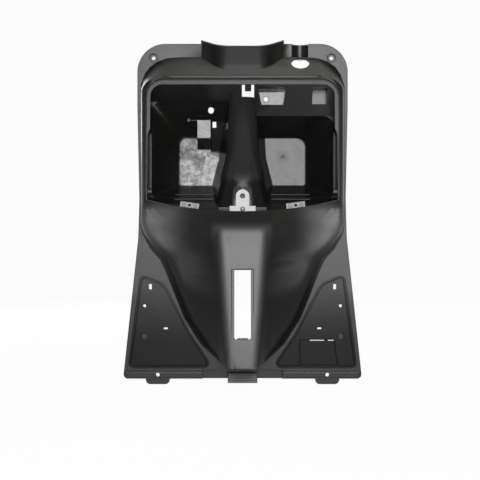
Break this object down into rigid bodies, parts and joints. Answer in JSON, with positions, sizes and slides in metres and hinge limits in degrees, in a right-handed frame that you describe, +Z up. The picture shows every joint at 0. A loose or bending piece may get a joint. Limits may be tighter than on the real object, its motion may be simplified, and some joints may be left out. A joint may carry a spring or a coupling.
{
  "type": "scooter leg shield",
  "caption": "Black moulded inner leg shield of a small scooter, with an open glove box, neck collar, key switch hole, knee bulge and steel catch and clips on the sill.",
  "frame": {"origin": "midway between the two upper screw holes, on the seats of their screw heads", "axes": "+Z up the shield, +Y away from the rider toward the front of the scooter, +X to the right in the front view"},
  "size_m": [0.4162, 0.1543, 0.6022],
  "materials": {
    "black_plastic": "satin, fine moulded grain, smoother inside the pockets",
    "zinc_steel": "zinc plated sheet"
  },
  "bodies": {
    "root": {"leg_shield": "black_plastic", "sill_catch": "zinc_steel", "sill_catch_screw": "zinc_steel", "sill_clip_left": "zinc_steel", "sill_clip_right": "zinc_steel"}
  },
  "joints": []
}
